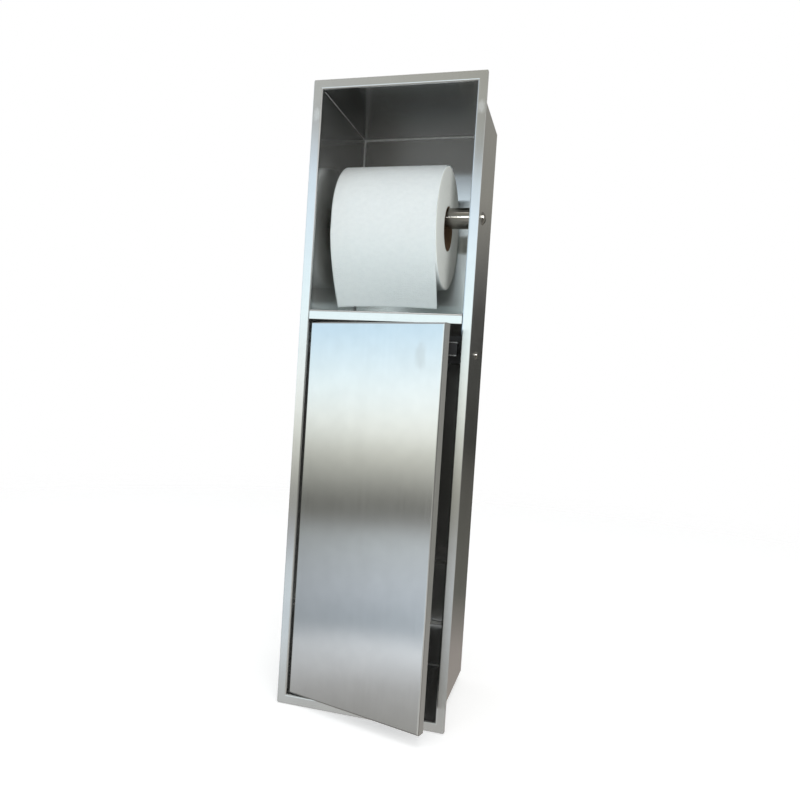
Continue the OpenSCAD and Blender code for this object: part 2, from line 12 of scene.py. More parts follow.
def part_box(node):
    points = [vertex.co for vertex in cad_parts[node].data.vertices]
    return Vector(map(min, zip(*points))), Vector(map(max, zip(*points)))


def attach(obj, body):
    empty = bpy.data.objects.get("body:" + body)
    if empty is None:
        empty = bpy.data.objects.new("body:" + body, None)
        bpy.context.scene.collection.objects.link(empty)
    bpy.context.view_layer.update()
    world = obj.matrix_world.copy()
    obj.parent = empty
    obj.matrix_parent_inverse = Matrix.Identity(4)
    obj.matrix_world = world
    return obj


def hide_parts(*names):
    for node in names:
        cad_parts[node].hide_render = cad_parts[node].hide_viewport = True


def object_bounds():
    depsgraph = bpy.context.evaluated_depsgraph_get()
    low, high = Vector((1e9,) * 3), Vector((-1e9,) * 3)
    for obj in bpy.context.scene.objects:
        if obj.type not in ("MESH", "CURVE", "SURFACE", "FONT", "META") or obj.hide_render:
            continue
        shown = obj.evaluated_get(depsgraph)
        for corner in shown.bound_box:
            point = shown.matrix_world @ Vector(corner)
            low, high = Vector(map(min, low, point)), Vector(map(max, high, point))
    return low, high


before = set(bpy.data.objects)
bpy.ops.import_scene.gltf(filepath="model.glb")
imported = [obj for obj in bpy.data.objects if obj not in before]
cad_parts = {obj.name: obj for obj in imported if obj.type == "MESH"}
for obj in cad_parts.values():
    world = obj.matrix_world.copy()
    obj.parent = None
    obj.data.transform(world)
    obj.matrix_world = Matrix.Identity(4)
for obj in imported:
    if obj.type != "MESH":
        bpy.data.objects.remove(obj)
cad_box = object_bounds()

log = logging.getLogger("niche")

MM = 0.001
PHOTO_SIDE = 800.0

Colour = tuple[float, float, float]
Point = tuple[float, float, float]
Socket = bpy.types.NodeSocket


def grey(value: float) -> Colour:
    """Returns the neutral colour of a linear value."""
    return (value, value, value)


def scaled(colour: Colour, factor: float) -> Colour:
    """Returns a linear colour times a factor, with no part above 1."""
    return tuple(min(1.0, part * factor) for part in colour)


class Graph:
    """Adds nodes to a shader tree and links them, with one call for each node."""

    def __init__(self, tree: bpy.types.NodeTree) -> None:
        """Starts from an empty tree.

        Args:
            tree: the node tree of a material or of the world.
        """
        self.tree = tree
        tree.nodes.clear()

    def add(
        self,
        kind: str,
        inputs: dict[str | int, Any] | None = None,
        settings: dict[str, Any] | None = None,
    ) -> bpy.types.Node:
        """Adds one node.

        Args:
            kind: the node's type, without its ShaderNode prefix.
            inputs: a value, or another node's output, for each input by name or number.
            settings: the node's own properties by name.

        Returns:
            The new node.
        """
        node = self.tree.nodes.new("ShaderNode" + kind)
        for key, value in (settings or {}).items():
            setattr(node, key, value)
        for key, value in (inputs or {}).items():
            if isinstance(value, Socket):
                self.tree.links.new(value, node.inputs[key])
            else:
                node.inputs[key].default_value = value
        return node

    def split(self, vector: Socket) -> tuple[Socket, Socket, Socket]:
        """Returns the three parts of a vector."""
        return tuple(self.add("SeparateXYZ", {0: vector}).outputs)

    def length(self, vector: Socket) -> Socket:
        """Returns the length of a vector."""
        return self.add("VectorMath", {0: vector}, {"operation": "LENGTH"}).outputs["Value"]

    def object_place(
        self,
        scale: Point = (1.0, 1.0, 1.0),
        centre: Point = (0.0, 0.0, 0.0),
        paired: bool = False,
    ) -> Socket:
        """Reads Object coordinates from a centre, stretched by a scale.

        Args:
            scale: the factor along each axis.
            centre: the place that becomes the origin.
            paired: whether the left half mirrors the right one.

        Returns:
            The coordinates.
        """
        place = self.add("TexCoord").outputs["Object"]
        if paired:
            x, y, z = self.split(place)
            place = self.add("CombineXYZ", {0: self.maths("ABSOLUTE", x), 1: y, 2: z}).outputs[0]
        moved = self.add("Mapping", {0: place, 1: [-c for c in centre]})
        return self.add("Mapping", {0: moved.outputs[0], 3: scale}).outputs[0]

    def noise(self, vector: Socket, scale: float, detail: float = 2.0) -> Socket:
        """Returns a noise texture's value at a place, with detail finer layers."""
        made = self.add("TexNoise", {"Vector": vector, "Scale": scale, "Detail": detail})
        return made.outputs[0]

    def maths(self, operation: str, *values: Socket | float) -> Socket:
        """Returns the result of one arithmetic operation on values."""
        return self.add("Math", dict(enumerate(values)), {"operation": operation}).outputs[0]

    def vector(self, operation: str, *values: Socket | Point) -> Socket:
        """Returns the vector that one operation makes from vectors."""
        inputs = dict(enumerate(values))
        return self.add("VectorMath", inputs, {"operation": operation}).outputs[0]

    def average(self, first: Socket, second: Socket, share: float = 0.5) -> Socket:
        """Returns the average of two values, in which the first counts for share."""
        rest = self.maths("MULTIPLY", second, 1.0 - share)
        return self.maths("MULTIPLY_ADD", first, share, rest)

    def spread(self, value: Socket, low: float, high: float) -> Socket:
        """Returns value, which lies from 0 to 1, moved to lie from low to high."""
        inputs = {"Value": value, "To Min": low, "To Max": high}
        return self.add("MapRange", inputs).outputs[0]

    def around(self, value: Socket, middle: float, reach: float) -> Socket:
        """Returns value, which lies from 0 to 1, moved to lie within reach of middle."""
        return self.spread(value, middle - reach, middle + reach)

    def rise(self, value: Socket, start: float, end: float, soft: bool = False) -> Socket:
        """Climbs from 0 to 1 while a value goes from one end to the other.

        Args:
            value: the value that is read.
            start: its end at 0.
            end: its end at 1, which may lie below start.
            soft: whether the climb starts and ends gently.

        Returns:
            The height from 0 to 1.
        """
        inputs = {"Value": value, "From Min": start, "From Max": end}
        kind = "SMOOTHSTEP" if soft else "LINEAR"
        return self.add("MapRange", inputs, {"interpolation_type": kind}).outputs[0]

    def between(
        self,
        share: Socket | float,
        first: Socket | Colour,
        second: Socket | Colour,
        blend: str = "MIX",
    ) -> Socket:
        """Mixes two colours, each given as a colour or as another node's output.

        Args:
            share: how much the second one counts, from 0 to 1.
            first: the colour at 0.
            second: the colour at 1.
            blend: how the second one acts on the first.

        Returns:
            The mixed colour.
        """
        inputs = {0: share}
        for slot, end in ((6, first), (7, second)):
            inputs[slot] = end if isinstance(end, Socket) else (*end, 1.0)
        return self.add("Mix", inputs, {"data_type": "RGBA", "blend_type": blend}).outputs[2]

    def ramp(self, value: Socket, stops: tuple[tuple[float, Colour], ...]) -> Socket:
        """Reads a colour from a run of stops.

        Args:
            value: where it is read, from 0 to 1.
            stops: places from 0 to 1 in rising order, each with its colour.

        Returns:
            The colour.
        """
        node = self.add("ValToRGB", {0: value})
        marks = node.color_ramp.elements
        for place, colour in stops[1:-1]:
            marks.new(place).color = (*colour, 1.0)
        for mark, (place, colour) in ((marks[0], stops[0]), (marks[-1], stops[-1])):
            mark.position = place
            mark.color = (*colour, 1.0)
        return node.outputs[0]

    def bump(
        self, height: Socket, strength: float, distance: float, over: Socket | None = None
    ) -> Socket:
        """Tilts the surface as a height would.

        Args:
            height: the height, from 0 to 1.
            strength: how much of it shows.
            distance: the height's size in metres.
            over: the normal of a larger shape that this one lies on, if any.

        Returns:
            The new normal.
        """
        inputs = {"Strength": strength, "Distance": distance, "Height": height}
        if over is not None:
            inputs["Normal"] = over
        return self.add("Bump", inputs).outputs[0]

    def surface(self, inputs: dict[str, Any]) -> None:
        """Ends the tree in one Principled shader with these inputs."""
        shader = self.add("BsdfPrincipled", inputs)
        self.add("OutputMaterial", {0: shader.outputs[0]})


@dataclass(frozen=True)
class Finish:
    """A finish of any kind. Each kind paints its own nodes from its values."""

    name: str

    def paint(self, graph: Graph) -> None:
        """Adds the finish's nodes to an empty graph."""
        raise NotImplementedError

    def build(self) -> bpy.types.Material:
        """Makes the material.

        Returns:
            The material.
        """
        material = bpy.data.materials.new(self.name)
        material.use_nodes = True
        self.paint(Graph(material.node_tree))
        return material


class Grain(Enum):
    """Direction of the brushing. Highlights stretch at right angles to it."""

    UPRIGHT = (0.0, 0.0, 1.0)
    ACROSS = (1.0, 0.0, 0.0)


@dataclass(frozen=True)
class Smudge:
    """Soft round mark on the steel: darker where a hand was, brighter on a grinding mark.

    Both take a little of the gloss; a brighter mark's lighter colour is also a painted
    highlight. A paired mark lies at the same place on the left and on the right. Its edge
    lies at shares of its reach.
    """

    centre: Point
    reach: Point
    strength: float
    paired: bool = False
    dulling: float = 0.08
    ragged: float = 0.6
    rough_scale: float = 2.2
    edge: tuple[float, float] = (1.3, 0.6)

    def share(self, graph: Graph) -> Socket:
        """Tells the mark, whose edge is ragged, from the steel round it.

        Args:
            graph: the material's nodes.

        Returns:
            1 at its middle, falling to 0 at its edge.
        """
        place = graph.object_place(tuple(1.0 / r for r in self.reach), self.centre, self.paired)
        rough = graph.noise(place, self.rough_scale, 3.0)
        away = graph.maths("MULTIPLY_ADD", rough, self.ragged, graph.length(place))
        return graph.rise(away, *self.edge, soft=True)


@dataclass(frozen=True)
class Bay:
    """Inside of the box, where painted shade and light go by height and it has its own metal.

    It starts over the depths from front that fade gives, ends at rear, and reaches half
    to the sides, and up and down. The heights in painted_shading each carry a factor on
    the colour, which paints shade and light.
    """

    painted_shading: tuple[tuple[float, float], ...]
    front: float
    rear: float
    half: tuple[float, float]
    metal: float
    fade: tuple[float, float] = (2.0 * MM, 9.0 * MM)

    def share(self, graph: Graph, place: Socket) -> Socket:
        """Tells the inside of the box from its front and outside.

        Args:
            graph: the material's nodes.
            place: Object coordinates in metres.

        Returns:
            1 inside the box and 0 elsewhere.
        """
        x, y, z = graph.split(place)
        x, z = graph.maths("ABSOLUTE", x), graph.maths("ABSOLUTE", z)
        inside = graph.rise(y, *(self.front + depth for depth in self.fade))
        for part, limit in ((x, self.half[0]), (y, self.rear), (z, self.half[1])):
            inside = graph.maths("MULTIPLY", inside, graph.maths("LESS_THAN", part, limit))
        return inside

    def tint(self, graph: Graph, place: Socket, share: Socket) -> Socket:
        """Works out the factor for the colour, which paints shade and light by height.

        Args:
            graph: the material's nodes.
            place: Object coordinates in metres.
            share: 1 inside the box and 0 elsewhere.

        Returns:
            The factor, which goes by height inside and is 1 elsewhere.
        """
        low, high = self.painted_shading[0][0], self.painted_shading[-1][0]
        height = graph.rise(graph.split(place)[2], low, high)
        stops = tuple(((z - low) / (high - low), grey(factor)) for z, factor in self.painted_shading)
        return graph.between(share, grey(1.0), graph.ramp(height, stops))


@dataclass(frozen=True)
class BrushedSteel(Finish):
    """Sheet with a satin grain along one direction, and along X on level faces.

    Streak, cloud and mottle say how far the grain, slow changes in gloss and slow changes
    in colour go. Hair and band are the numbers of fine and of broad streaks in a metre
    across the grain and along it. Bow is the height of the sheet's unevenness in metres.
    A face is level where its normal's z is above level_from.
    """

    grain: Grain = Grain.UPRIGHT
    colour: Colour = (0.58, 0.58, 0.57)
    roughness: float = 0.18
    anisotropy: float = 1.0
    streak: float = 0.03
    cloud: float = 0.02
    mottle: float = 0.03
    smudge: Smudge | None = None
    metal: float = 1.0
    bow: float = 0.0
    bay: Bay | None = None
    hair: tuple[float, float] = (1500.0, 9.0)
    band: tuple[float, float] = (260.0, 3.0)
    cloud_scale: float = 22.0
    mottle_scale: float = 60.0
    bow_scale: float = 6.5
    contrast: tuple[float, float] = (0.7, 1.3)
    relief: float = 0.03 * MM
    level_from: float = 0.7

    def direction(self, graph: Graph, normal: Socket) -> Socket:
        """Works out the grain's direction, which turns to X where a face lies level.

        Args:
            graph: the material's nodes.
            normal: the face's normal.

        Returns:
            The direction.
        """
        upright = graph.split(normal)[2]
        level = graph.maths("GREATER_THAN", graph.maths("ABSOLUTE", upright), self.level_from)
        ends = {4: self.grain.value, 5: Grain.ACROSS.value, 0: level}
        return graph.add("Mix", ends, {"data_type": "VECTOR"}).outputs[1]

    def streaks(self, graph: Graph, along: Socket, scale: float, stretch: float) -> Socket:
        """Draws noise out along a direction.

        Args:
            graph: the material's nodes.
            along: the grain's direction.
            scale: how many changes there are in a metre across the grain.
            stretch: how many there are in a metre along it.

        Returns:
            The noise's value.
        """
        drawn = graph.vector("MULTIPLY_ADD", along, (stretch - scale,) * 3, (scale,) * 3)
        place = graph.vector("MULTIPLY", graph.object_place(), drawn)
        return graph.noise(place, 1.0, 3.0)

    def paint(self, graph: Graph) -> None:
        """Adds long streaks along the grain in colour, gloss and height.

        Args:
            graph: the material's nodes.
        """
        normal = graph.add("NewGeometry").outputs["Normal"]
        along = self.direction(graph, normal)
        hair = self.streaks(graph, along, *self.hair)
        band = self.streaks(graph, along, *self.band)
        whole = graph.object_place()
        cloud = graph.noise(whole, self.cloud_scale, 3.0)
        mottle = graph.noise(whole, self.mottle_scale, 4.0)
        streaks = graph.average(hair, band, 0.6)
        shade = graph.maths(
            "ADD",
            graph.around(streaks, 0.5, 2.0 * self.streak),
            graph.around(mottle, 0.0, 2.0 * self.mottle),
        )
        gloss = graph.maths(
            "ADD",
            graph.around(streaks, self.roughness, self.streak),
            graph.around(cloud, 0.0, self.cloud),
        )
        if self.smudge is not None:
            mark = self.smudge.share(graph)
            gloss = graph.maths("MULTIPLY_ADD", mark, self.smudge.dulling, gloss)
            shade = graph.maths("MULTIPLY_ADD", mark, -self.smudge.strength, shade)
        ends = (scaled(self.colour, factor) for factor in self.contrast)
        colour = graph.between(shade, *ends)
        metal = self.metal
        # Inside the box, the bay's painted shade and light multiply the colour.
        if self.bay is not None:
            share = self.bay.share(graph, whole)
            tint = self.bay.tint(graph, whole, share)
            colour = graph.between(1.0, colour, tint, "MULTIPLY")
            metal = graph.spread(share, self.metal, self.bay.metal)
        bowed = None
        if self.bow > 0.0:
            bowed = graph.bump(graph.noise(whole, self.bow_scale, 0.0), 1.0, self.bow)
        graph.surface({
            "Base Color": colour,
            "Metallic": metal,
            "Roughness": gloss,
            "Anisotropic": self.anisotropy,
            "Tangent": graph.vector("CROSS_PRODUCT", along, normal),
            "Normal": graph.bump(streaks, 0.1, self.relief, over=bowed),
        })


@dataclass(frozen=True)
class TurnedSteel(Finish):
    """Round part finished on a lathe, or drawn wire, with fine rings round its X axis."""

    colour: Colour = (0.31, 0.295, 0.27)
    roughness: float = 0.2
    anisotropy: float = 0.9
    ring_scale: float = 1400.0
    round_scale: float = 40.0
    cloud_scale: float = 90.0
    cloud: float = 0.08
    contrast: tuple[float, float] = (0.86, 1.1)
    relief: float = 0.05 * MM

    def paint(self, graph: Graph) -> None:
        """Adds rings along X, with soft clouds in their gloss.

        The tangent leans a little from X, so that faces across X have one as well.

        Args:
            graph: the material's nodes.
        """
        scale = (self.ring_scale, self.round_scale, self.round_scale)
        rings = graph.noise(graph.object_place(scale), 1.0)
        cloud = graph.noise(graph.object_place(), self.cloud_scale)
        mixed = graph.average(rings, cloud)
        ends = (scaled(self.colour, factor) for factor in self.contrast)
        graph.surface({
            "Base Color": graph.between(rings, *ends),
            "Metallic": 1.0,
            "Roughness": graph.around(mixed, self.roughness, self.cloud),
            "Anisotropic": self.anisotropy,
            "Tangent": graph.add("CombineXYZ", {0: 1.0, 1: 0.02, 2: 0.05}).outputs[0],
            "Normal": graph.bump(rings, 0.15, self.relief),
        })


@dataclass(frozen=True)
class MouldedPlastic(Finish):
    """Matt black moulding with a spark-eroded texture."""

    colour: Colour = (0.022, 0.022, 0.023)
    worn: float = 1.9
    gloss: tuple[float, float] = (0.42, 0.62)
    pit_scale: float = 2600.0
    pit_depth: float = 0.08 * MM
    cloud_scale: float = 140.0

    def paint(self, graph: Graph) -> None:
        """Adds fine pits over slow changes in gloss.

        Args:
            graph: the material's nodes.
        """
        place = graph.object_place()
        pits = graph.noise(place, self.pit_scale)
        cloud = graph.noise(place, self.cloud_scale)
        graph.surface({
            "Base Color": graph.between(cloud, self.colour, scaled(self.colour, self.worn)),
            "Roughness": graph.spread(cloud, *self.gloss),
            "Normal": graph.bump(pits, 0.3, self.pit_depth),
        })


@dataclass(frozen=True)
class Tissue(Finish):
    """Soft white tissue with pressed dots, on the piece's own UV map in metres.

    Down the piece, over painted_shade_length metres, its colour is multiplied by a factor that
    falls to painted_shade_factor: a painted shade. Glow is the share of the light that goes
    through the tissue. A dot's wall climbs over dot_edge, in shares of the pitch, and the shade
    colour turns to light over the crumple's heights in tint, painting shade in its hollows.
    """

    light: Colour = (0.85, 0.915, 0.915)
    shade: Colour = (0.825, 0.89, 0.893)
    dot_pitch: float = 1.6 * MM
    dot_edge: tuple[float, float] = (0.12, 0.42)
    scatter: float = 0.7
    fibre_scale: float = 900.0
    crumple_scale: Point = (170.0, 240.0, 1.0)
    tint: tuple[float, float] = (0.35, 0.62)
    gloss: tuple[float, float] = (0.86, 0.98)
    depth: float = 0.25 * MM
    glow: float = 0.0
    painted_shade_length: float = 75.0 * MM
    painted_shade_factor: float = 1.0

    def paint(self, graph: Graph) -> None:
        """Adds rows of pressed dots over crumpled fibres.

        Args:
            graph: the material's nodes.
        """
        flat = graph.add("TexCoord").outputs["UV"]
        dots = graph.add(
            "TexVoronoi",
            {"Vector": flat, "Scale": 1.0 / self.dot_pitch, "Randomness": self.scatter},
            {"voronoi_dimensions": "2D"},
        ).outputs["Distance"]
        pressed = graph.rise(dots, *self.dot_edge)
        fibres = graph.noise(flat, self.fibre_scale, 4.0)
        crumple = graph.noise(graph.vector("MULTIPLY", flat, self.crumple_scale), 1.0, 4.0)
        height = graph.maths(
            "MULTIPLY_ADD", pressed, 0.3, graph.maths("MULTIPLY_ADD", fibres, 0.3, crumple)
        )
        # Darker in the crumple's hollows: painted shade of the crumples.
        colour = graph.between(graph.rise(crumple, *self.tint), self.shade, self.light)
        # Painted shade: the hanging end darkens down the piece.
        if self.painted_shade_factor < 1.0:
            share = graph.rise(graph.split(flat)[1], 0.0, self.painted_shade_length, soft=True)
            colour = graph.between(share, colour, grey(self.painted_shade_factor), "MULTIPLY")
        graph.surface({
            "Base Color": colour,
            "Roughness": graph.spread(fibres, *self.gloss),
            "Sheen Weight": 0.12,
            "Sheen Roughness": 0.6,
            "Specular IOR Level": 0.15,
            "Subsurface Weight": self.glow,
            "Subsurface Radius": (1.0, 1.0, 1.0),
            "Subsurface Scale": 0.35 * MM,
            "Normal": graph.bump(height, 0.85, self.depth),
        })


@dataclass(frozen=True)
class WoundEdge(Finish):
    """End of a wound roll: the edges of its turns show as fine uneven rings.

    Axis is the y and z of the roll's axis.
    """

    axis: tuple[float, float] = (0.0, 0.0)
    light: Colour = (0.75, 0.78, 0.74)
    shade: Colour = (0.61, 0.64, 0.6)
    gloss: tuple[float, float] = (0.9, 1.0)
    wander: float = 1.2 * MM
    wander_scale: float = 55.0
    turn_scale: float = 1700.0
    group_scale: float = 260.0
    fluff_scale: float = 1200.0
    relief: float = 0.3 * MM

    def paint(self, graph: Graph) -> None:
        """Adds noise that is read by the distance from the roll's axis.

        Args:
            graph: the material's nodes.
        """
        place = graph.object_place((0.0, 1.0, 1.0), (0.0, *self.axis))
        wander = graph.noise(place, self.wander_scale)
        along = graph.maths("MULTIPLY_ADD", wander, self.wander, graph.length(place))
        ring = graph.add("CombineXYZ", {0: along}).outputs[0]
        turns = graph.noise(ring, self.turn_scale, 3.0)
        groups = graph.noise(ring, self.group_scale)
        fluff = graph.noise(graph.object_place(), self.fluff_scale, 3.0)
        mixed = graph.average(turns, groups)
        graph.surface({
            "Base Color": graph.between(mixed, self.shade, self.light),
            "Roughness": graph.spread(fluff, *self.gloss),
            "Sheen Weight": 0.15,
            "Specular IOR Level": 0.1,
            "Normal": graph.bump(graph.maths("ADD", mixed, fluff), 0.5, self.relief),
        })


@dataclass(frozen=True)
class WoundBoard(Finish):
    """Grey-brown core board, wound in a spiral with a seam that climbs along it.

    Axis is the y and z of the core's axis. The seam climbs by so many metres a radian, and
    comes back after twice seam_half.
    """

    axis: tuple[float, float] = (0.0, 0.0)
    light: Colour = (0.36, 0.24, 0.15)
    shade: Colour = (0.24, 0.15, 0.09)
    gloss: tuple[float, float] = (0.8, 0.95)
    climb: float = 12.0 * MM
    seam_half: float = 37.7 * MM
    seam_width: float = 0.7 * MM
    fleck_scale: float = 700.0
    relief: float = 0.15 * MM

    def paint(self, graph: Graph) -> None:
        """Adds flecked board with a spiral seam.

        Args:
            graph: the material's nodes.
        """
        place = graph.object_place(centre=(0.0, *self.axis))
        x, y, z = graph.split(place)
        spiral = graph.maths("MULTIPLY_ADD", graph.maths("ARCTAN2", y, z), self.climb, x)
        away = graph.maths("PINGPONG", spiral, self.seam_half)
        board = graph.rise(away, 0.0, self.seam_width)
        flecks = graph.noise(place, self.fleck_scale, 4.0)
        colour = graph.between(flecks, self.shade, self.light)
        graph.surface({
            "Base Color": graph.between(board, self.shade, colour),
            "Roughness": graph.spread(flecks, *self.gloss),
            "Specular IOR Level": 0.2,
            "Normal": graph.bump(graph.maths("ADD", flecks, board), 0.4, self.relief),
        })


def surface_mesh(
    name: str, points: np.ndarray, uv: np.ndarray, closed: tuple[bool, bool]
) -> bpy.types.Object:
    """Makes a mesh object from a grid of points.

    Args:
        name: the object's name.
        points: rows by columns by 3, in metres in the row frame.
        uv: rows by columns by 2, in metres.
        closed: whether the last row joins the first, and the last column the first.

    Returns:
        The object, at the origin, with smooth faces and the UV map "flat".
    """
    rows, columns = points.shape[:2]
    row = np.arange(rows if closed[0] else rows - 1)[:, None]
    column = np.arange(columns if closed[1] else columns - 1)[None, :]
    corners = ((row, column), (row, column + 1), (row + 1, column + 1), (row + 1, column))
    quads = np.stack([r % rows * columns + c % columns for r, c in corners], axis=-1)
    quads = quads.reshape(-1, 4)
    mesh = bpy.data.meshes.new(name)
    mesh.from_pydata(points.reshape(-1, 3), [], quads)
    layer = mesh.uv_layers.new(name="flat")
    loops = np.zeros(len(mesh.loops), np.int32)
    mesh.loops.foreach_get("vertex_index", loops)
    layer.data.foreach_set("uv", uv.reshape(-1, 2)[loops].ravel().astype(np.float32))
    mesh.shade_smooth()
    made = bpy.data.objects.new(name, mesh)
    bpy.context.scene.collection.objects.link(made)
    return made


@dataclass
class PaperRoll:
    """The wound roll and the loose sheet that hangs from its front.

    The sheet lies sheet_rise off the roll at the front and end_rise at its upper end. Its
    lower corners draw in and swing out, from narrow_from of the way down. Ripples are
    heights with their turns and start across the sheet. Profile_steps go along the
    outside, round an edge, down the end and through the bore, and sheet_steps go round
    the roll, down and across.
    """

    edge_round: float = 1.6 * MM
    bore_round: float = 0.5 * MM
    dish: float = 0.35 * MM
    out_of_round: float = 0.12 * MM
    end_normal: float = 0.8
    steps_round: int = 240
    profile_steps: tuple[int, int, int, int] = (24, 7, 40, 12)
    sheet_steps: tuple[int, int, int] = (90, 70, 81)
    sheet_rise: float = 0.28 * MM
    end_rise: float = 0.15 * MM
    sheet_thickness: float = 0.2 * MM
    wrap_past_top: float = math.radians(96.0)
    corner_in: float = 12.4 * MM
    corner_out: float = 6.3 * MM
    foot_arch: float = 1.4 * MM
    foot_slope: float = 1.2 * MM
    shelf_gap: float = 5.2 * MM
    narrow_from: float = 0.16
    curl: float = 0.5 * MM
    curl_from: float = 0.93
    ripples: tuple[Point, Point] = ((0.35 * MM, 9.0, 0.8), (0.2 * MM, 21.0, 0.0))
    low: Vector = field(init=False)
    high: Vector = field(init=False)
    bore_radius: float = field(init=False)

    def __post_init__(self) -> None:
        """Reads the roll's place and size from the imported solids."""
        self.low, self.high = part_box("paper_roll")
        core_low, core_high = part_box("cardboard_core")
        self.bore_radius = (core_high.z - core_low.z) / 2

    @property
    def radius(self) -> float:
        """Outer radius of the roll."""
        return (self.high.z - self.low.z) / 2

    @property
    def axis(self) -> tuple[float, float]:
        """The roll's axis, as its y and z."""
        centre = (self.low + self.high) / 2
        return centre.y, centre.z

    def profile(self) -> tuple[np.ndarray, np.ndarray]:
        """Section of the roll through its axis, as one closed line.

        It runs along the outside, round a soft edge, down the slightly dished end, round
        the edge of the bore and back through the bore to the other end.

        Returns:
            The stations along x and the radii, of the same length.
        """
        mid = (self.low.x + self.high.x) / 2
        half = (self.high.x - self.low.x) / 2
        outside, edge, end, inside = self.profile_steps
        turn = np.linspace(0.0, math.pi / 2, edge)
        outside_x = np.linspace(0.0, half - self.edge_round, outside)[:-1]
        rounded_x = half - self.edge_round * (1.0 - np.sin(turn))
        rounded_r = self.radius - self.edge_round * (1.0 - np.cos(turn))
        share = np.linspace(0.0, 1.0, end)[1:-1]
        end_r = rounded_r[-1] + (self.bore_radius + self.bore_round - rounded_r[-1]) * share
        end_x = half - self.dish * np.sin(share * math.pi) ** 2
        lip_x = half - self.bore_round * (1.0 - np.cos(turn))
        lip_r = self.bore_radius + self.bore_round * (1.0 - np.sin(turn))
        inside_x = np.linspace(half - self.bore_round, 0.0, inside)[1:]
        x = np.concatenate([outside_x, rounded_x, end_x, lip_x, inside_x])
        outside_r = np.full(outside_x.shape, self.radius)
        inside_r = np.full(inside_x.shape, self.bore_radius)
        r = np.concatenate([outside_r, rounded_r, end_r, lip_r, inside_r])
        x = np.concatenate([x, -x[-2:0:-1]])
        r = np.concatenate([r, r[-2:0:-1]])
        return mid + x, r

    def build_roll(self) -> bpy.types.Object:
        """Makes the roll: its profile carried round the axis, a little out of round.

        Returns:
            The roll, with tissue outside and wound ends.
        """
        x, r = self.profile()
        angle = np.linspace(0.0, 2 * math.pi, self.steps_round, endpoint=False)[:, None]
        sag = self.out_of_round * (1.0 + np.sin(2 * angle + 0.6) * np.cos(3 * angle)) / 2
        outer = np.clip((r - self.bore_radius) / (self.radius - self.bore_radius), 0, 1)
        radius = r - sag * outer
        wide = np.broadcast_to(x, radius.shape)
        y, z = self.axis
        y, z = y + radius * np.sin(angle), z + radius * np.cos(angle)
        points = np.stack([wide, y, z], axis=-1)
        uv = np.stack([wide, np.broadcast_to(angle * self.radius, radius.shape)], axis=-1)
        roll = surface_mesh("tissue_roll", points, uv, (True, True))
        mesh = roll.data
        normals = np.zeros(len(mesh.polygons) * 3)
        mesh.polygons.foreach_get("normal", normals)
        on_end = np.abs(normals.reshape(-1, 3)[:, 0]) > self.end_normal
        mesh.polygons.foreach_set("material_index", on_end.astype(np.int32))
        mesh.materials.append(Tissue("tissue").build())
        mesh.materials.append(WoundEdge("wound_edge", self.axis).build())
        return roll

    def build_sheet(self) -> tuple[bpy.types.Object, tuple[float, float]]:
        """Makes the loose sheet that lies over the front of the roll and hangs down.

        One parameter runs along the paper: round the roll on an arc that lifts off it, and
        then straight down. The other runs across it, between two edges that draw in on the
        left and swing out on the right. The lower edge arches up between its corners and
        curls forward, and ripples grow towards it.

        Returns:
            The sheet, and the width and length that it was cut to.
        """
        axis_y, axis_z = self.axis
        shelf_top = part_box("divider_shelf")[1].z
        hang = axis_z - shelf_top - self.shelf_gap
        arc = self.wrap_past_top * self.radius
        wrapped, hanging, wide = self.sheet_steps
        along = np.concatenate([
            np.linspace(-arc, 0.0, wrapped)[:-1],
            np.linspace(0.0, hang, hanging),
        ])[:, None]
        across = np.linspace(0.0, 1.0, wide)[None, :]
        angle = np.clip(-along / self.radius, 0.0, self.wrap_past_top)
        rise = self.sheet_rise + (self.end_rise - self.sheet_rise) * np.sin(
            angle / self.wrap_past_top * math.pi / 2
        )
        reach = self.radius + rise
        down = np.clip(along / hang, 0.0, 1.0)
        lower = np.clip((down - self.narrow_from) / (1.0 - self.narrow_from), 0.0, 1.0)
        left = self.low.x + self.corner_in * lower**1.6
        right = self.high.x + self.corner_out * lower**1.2
        x = left + (right - left) * across
        arch = self.foot_arch * np.sin(math.pi * across**0.8) * down**4
        arch = arch - self.foot_slope * (1.0 - across) * down**4
        ripple = down**2 * sum(
            height * np.sin(turns * across + start) for height, turns, start in self.ripples
        )
        foot = np.clip((down - self.curl_from) / (1.0 - self.curl_from), 0.0, 1.0)
        curl = self.curl * foot**2
        y = axis_y - reach * np.cos(angle) - ripple - curl + 0.0 * x
        z = axis_z + reach * np.sin(angle) - np.clip(along, 0.0, hang) + arch
        points = np.stack([x, y, z], axis=-1)
        uv = np.stack([x, along + 0.0 * x], axis=-1)
        sheet = surface_mesh("loose_sheet", points[:, ::-1], uv[:, ::-1], (False, False))
        wall = sheet.modifiers.new("wall", "SOLIDIFY")
        wall.thickness = self.sheet_thickness
        wall.offset = 0.0
        finish = Tissue("loose_tissue", depth=0.4 * MM, glow=1.0, painted_shade_factor=0.76)
        sheet.data.materials.append(finish.build())
        return sheet, (self.high.x - self.low.x, arc + hang)

    def build(self) -> bpy.types.Object:
        """Makes both pieces and says what they stand for.

        Returns:
            The wound roll.
        """
        roll = self.build_roll()
        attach(roll, "roll")
        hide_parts("paper_roll")
        log.info("roll: %s", roll.name)
        sheet, flat = self.build_sheet()
        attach(sheet, "root")
        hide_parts("paper_tail")
        log.info("sheet: %s, cut to %.0f x %.0f mm", sheet.name, *(f / MM for f in flat))
        return roll


